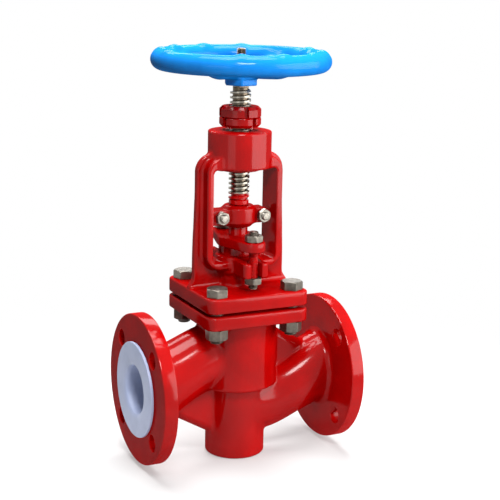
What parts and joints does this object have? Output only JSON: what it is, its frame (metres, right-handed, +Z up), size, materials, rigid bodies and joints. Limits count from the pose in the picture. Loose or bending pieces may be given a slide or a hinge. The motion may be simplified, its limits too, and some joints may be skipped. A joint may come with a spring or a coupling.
{
  "type": "lined globe valve",
  "caption": "Flanged, lined globe valve with an outside screw and yoke; turning the rising handwheel lifts the disc off its seat.",
  "frame": {"origin": "centre of the foot's underside, on the stem axis", "axes": "+X along the pipe towards the inlet flange, +Z up along the stem towards the handwheel, -Y towards the side that the picture shows"},
  "size_m": [0.236, 0.1868, 0.437],
  "materials": {
    "red_enamel": "thick glossy enamel over a cast surface",
    "red_enamel_on_steel": "glossy enamel over turned steel",
    "blue_enamel": "glossy enamel",
    "fluoroplastic_lining": "smooth, slightly translucent white",
    "bright_steel": "turned, bright",
    "dark_steel": "plated, dulled",
    "bronze": "machined",
    "packing": "moulded rings"
  },
  "bodies": {
    "valve_body": {"body_casting": "red_enamel", "body_liner": "fluoroplastic_lining", "bonnet_yoke": "red_enamel", "bonnet_liner": "fluoroplastic_lining", "bonnet_bolt_1": "dark_steel", "bonnet_nut_1": "dark_steel", "bonnet_bolt_2": "dark_steel", "bonnet_nut_2": "dark_steel", "bonnet_bolt_3": "dark_steel", "bonnet_nut_3": "dark_steel", "bonnet_bolt_4": "dark_steel", "bonnet_nut_4": "dark_steel", "packing_base_ring": "bright_steel", "packing_ring_1": "packing", "packing_ring_2": "packing", "packing_ring_3": "packing", "packing_ring_4": "packing", "gland_follower": "red_enamel", "gland_flange": "red_enamel", "gland_stud_front": "dark_steel", "gland_stud_rear": "dark_steel", "gland_nut_front": "dark_steel", "gland_nut_rear": "dark_steel", "gland_lower_nut_front": "dark_steel", "gland_lower_nut_rear": "dark_steel", "yoke_nut": "red_enamel_on_steel", "yoke_nut_set_screw": "dark_steel"},
    "stem_assembly": {"valve_disc": "fluoroplastic_lining", "disc_pin": "bright_steel", "lower_stem": "red_enamel_on_steel", "thrust_washer": "bronze", "clamp_front_half": "red_enamel", "clamp_rear_half": "red_enamel", "clamp_bolt_left": "bright_steel", "clamp_bolt_right": "bright_steel", "clamp_nut_left": "bright_steel", "clamp_nut_right": "bright_steel"},
    "screw_and_handwheel": {"stem_screw": "bright_steel", "lock_nut_lower": "red_enamel_on_steel", "lock_nut_upper": "red_enamel_on_steel", "handwheel": "blue_enamel", "handwheel_washer": "bright_steel", "handwheel_nut": "bright_steel"}
  },
  "joints": [
    {"name": "stem_lift", "type": "slide", "parent": "valve_body", "child": "stem_assembly", "axis": [0, 0, 1], "range_m": [0, 0.01501]},
    {"name": "handwheel_turn", "type": "hinge", "parent": "stem_assembly", "child": "screw_and_handwheel", "pos_m": [0, 0, 0.424], "axis": [0, 0, 1], "range_deg": [0, 1080]}
  ],
  "couplings": [
    {"joint": "stem_lift", "follows": "handwheel_turn", "m_per_rad": 0.00079577}
  ]
}
